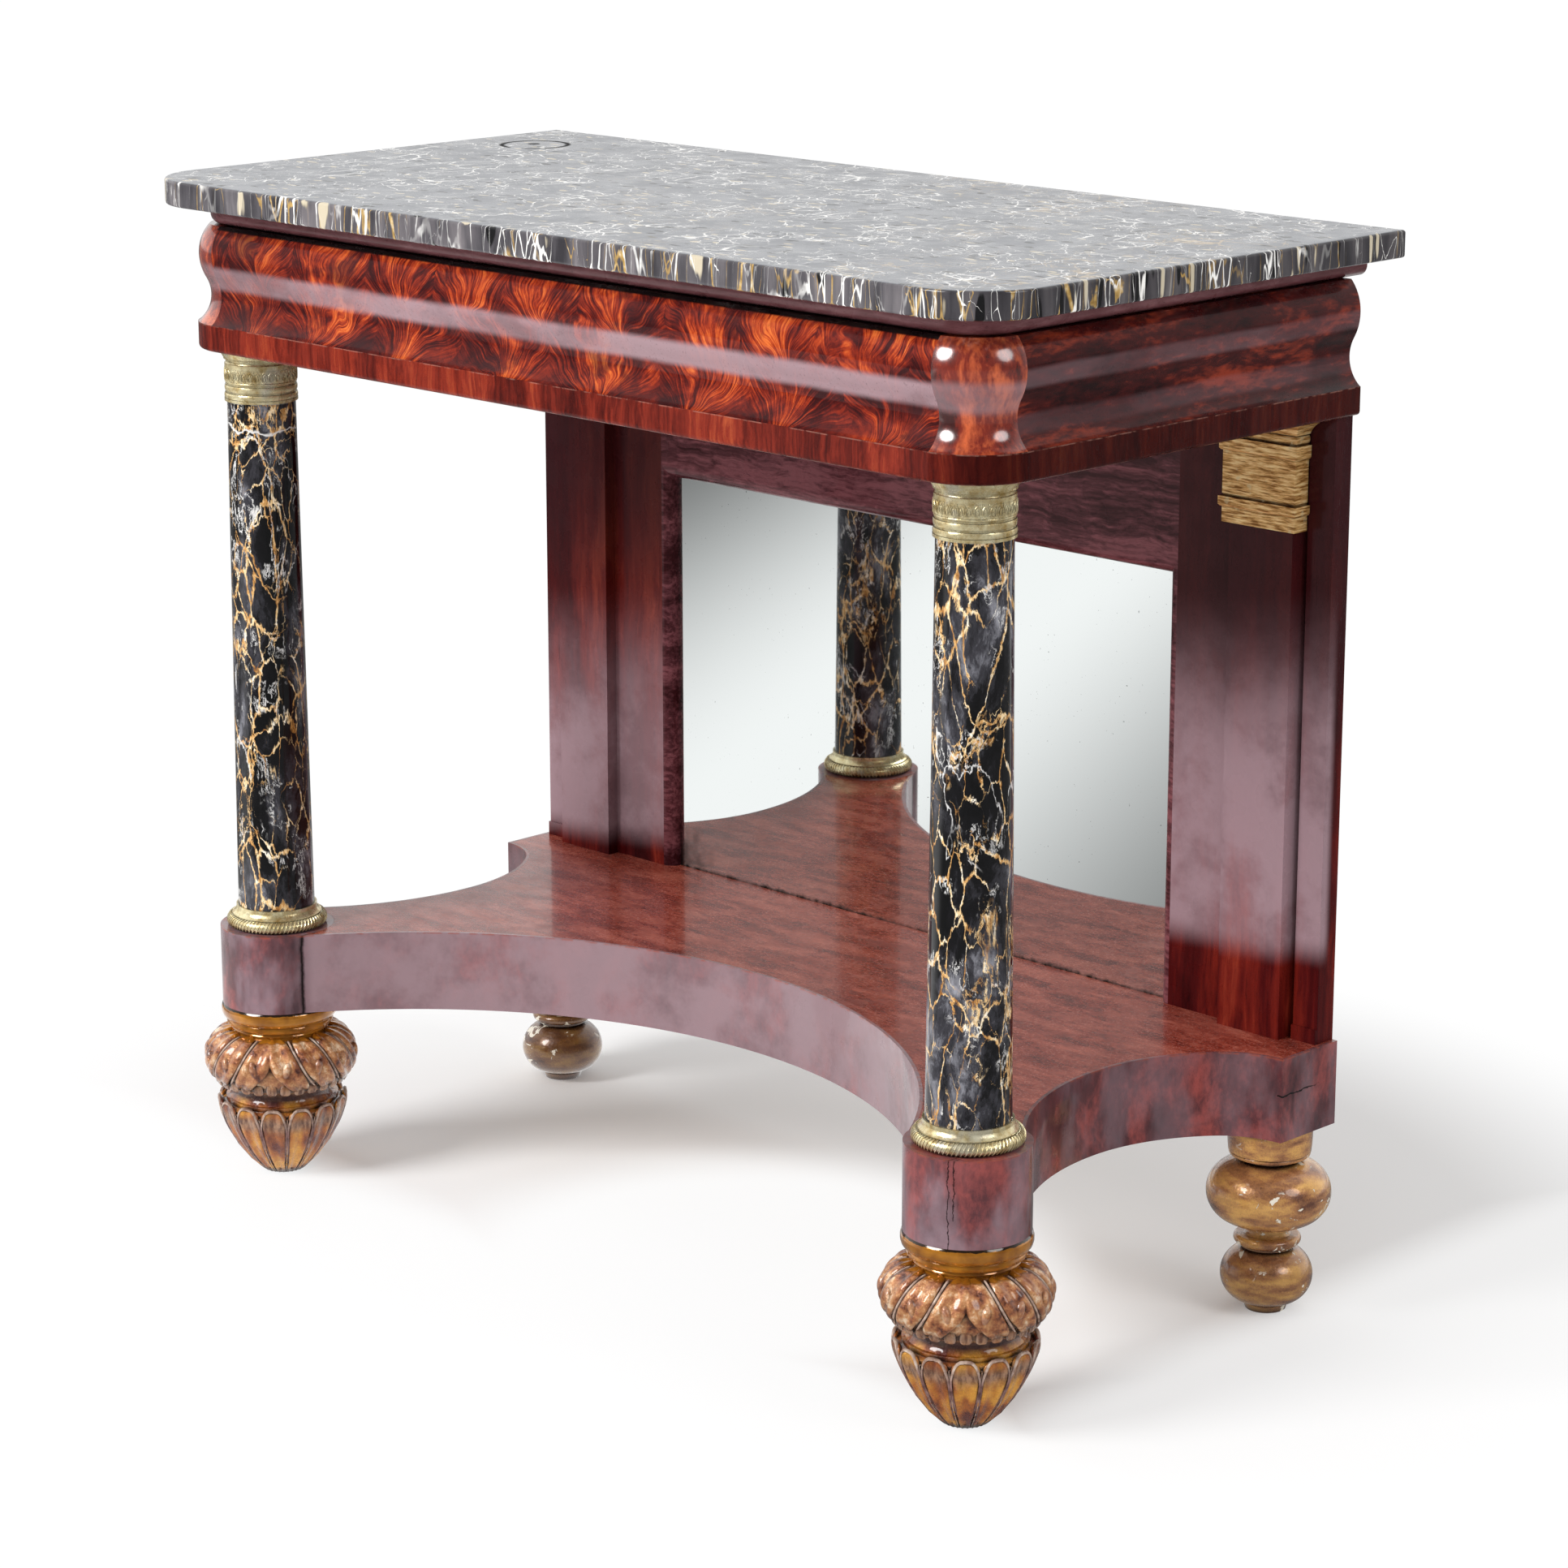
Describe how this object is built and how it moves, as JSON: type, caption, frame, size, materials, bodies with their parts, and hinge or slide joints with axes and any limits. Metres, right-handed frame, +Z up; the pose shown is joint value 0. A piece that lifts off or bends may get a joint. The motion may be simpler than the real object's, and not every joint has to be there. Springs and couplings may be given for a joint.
{
  "type": "pier table",
  "caption": "Console table for a wall: marble slab on an ogee apron, marble columns in front, pilasters and a looking glass behind, shaped shelf on carved feet.",
  "frame": {"origin": "on the floor, under the middle of the slab, which is the bounding box seen from above", "axes": "+X to the right for someone who faces the front, +Y towards the wall behind, +Z up; the front faces -Y"},
  "size_m": [1.016, 0.508, 0.93],
  "materials": {
    "slab_marble": "polished, black with gold and white veins",
    "shaft_marble": "polished, black with brown and white veins",
    "brass": "turned and stamped, patinated",
    "gold_paint": "gold paint over carved wood, worn edges",
    "gilt_wood": "varnished gilding over gesso, chipped",
    "mirror_glass": "old silvered glass",
    "pine": "aged secondary wood, bare",
    "iron": "dark iron",
    "dark_mahogany": "dark french polish",
    "mahogany": "figured veneer, french polished"
  },
  "bodies": {
    "root": {"apron_back_rail": "pine", "apron_corner_left": "mahogany", "apron_corner_right": "mahogany", "apron_front": "mahogany", "apron_side_left": "mahogany", "apron_side_right": "mahogany", "backboard": "pine", "backboard_screws": "iron", "base_plugs": "pine", "bottom_rail_back": "pine", "bottom_rail_front": "mahogany", "bottom_rail_side_left": "mahogany", "bottom_rail_side_right": "mahogany", "cap_plugs": "pine", "capital_left": "gold_paint", "capital_right": "gold_paint", "column_base_left": "brass", "column_base_right": "brass", "column_cap_left": "brass", "column_cap_right": "brass", "column_rods": "iron", "column_shaft_left": "shaft_marble", "column_shaft_right": "shaft_marble", "foot_back_left": "gilt_wood", "foot_back_right": "gilt_wood", "foot_front_left": "gilt_wood", "foot_front_right": "gilt_wood", "glass_moulding_side_left": "dark_mahogany", "glass_moulding_side_right": "dark_mahogany", "glass_moulding_top": "dark_mahogany", "glue_blocks": "pine", "looking_glass": "mirror_glass", "marble_top": "slab_marble", "pilaster_left": "dark_mahogany", "pilaster_right": "dark_mahogany", "post_left": "dark_mahogany", "post_plinths": "dark_mahogany", "post_right": "dark_mahogany", "rod_nuts": "iron", "shelf_block_left": "mahogany", "shelf_block_right": "mahogany", "shelf_core": "pine", "shelf_facing_front": "mahogany", "shelf_facing_side_left": "mahogany", "shelf_facing_side_right": "mahogany", "shelf_top": "mahogany", "slab_battens": "pine", "stile_left": "mahogany", "stile_right": "mahogany", "top_bead_corner_left": "dark_mahogany", "top_bead_corner_right": "dark_mahogany", "top_bead_front": "dark_mahogany", "top_bead_side_left": "dark_mahogany", "top_bead_side_right": "dark_mahogany", "top_rail": "mahogany"}
  },
  "joints": []
}
